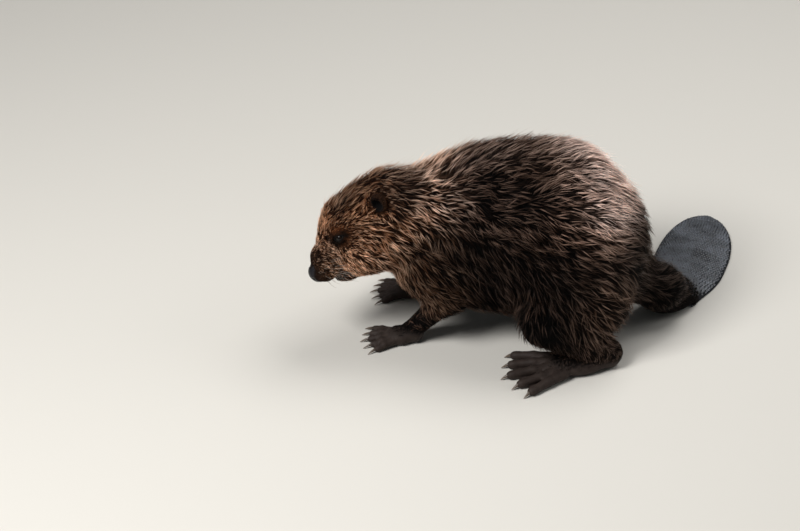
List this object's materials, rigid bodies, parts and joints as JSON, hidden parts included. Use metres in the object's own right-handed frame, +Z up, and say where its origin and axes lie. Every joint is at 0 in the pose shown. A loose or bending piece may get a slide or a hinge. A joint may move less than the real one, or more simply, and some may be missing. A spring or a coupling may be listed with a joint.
{
  "type": "beaver",
  "caption": "Still life-size adult beaver crouched with its back arched, its head lowered and its flat scaly tail laid round to its right.",
  "frame": {"origin": "on the floor, under the middle of the animal's box", "axes": "+X towards the rump, the nose towards -X, +Y to the animal's right, +Z up"},
  "size_m": [0.684, 0.5048, 0.3219],
  "materials": {
    "coat": "dense brown fur with long coarse guard hairs",
    "ear": "short dark fur",
    "nose": "damp black leathery skin",
    "eye": "wet dark cornea",
    "bare_skin": "dark scaly skin of hands and feet",
    "claw": "worn horn",
    "tail_scales": "flat overlapping leathery scales"
  },
  "bodies": {
    "root": {"head": "coat", "lower_jaw": "coat", "neck": "coat", "chest": "coat", "belly": "coat", "rump": "coat", "tail_root": "coat", "arm_left": "coat", "arm_right": "coat", "forearm_left": "coat", "forearm_right": "coat", "thigh_left": "coat", "thigh_right": "coat", "shank_left": "coat", "shank_right": "coat", "ear_left": "ear", "ear_right": "ear", "nose": "nose", "eye_left": "eye", "eye_right": "eye", "hand_left": "bare_skin", "hand_right": "bare_skin", "foot_left": "bare_skin", "foot_right": "bare_skin", "tail_blade": "tail_scales"}
  },
  "joints": []
}
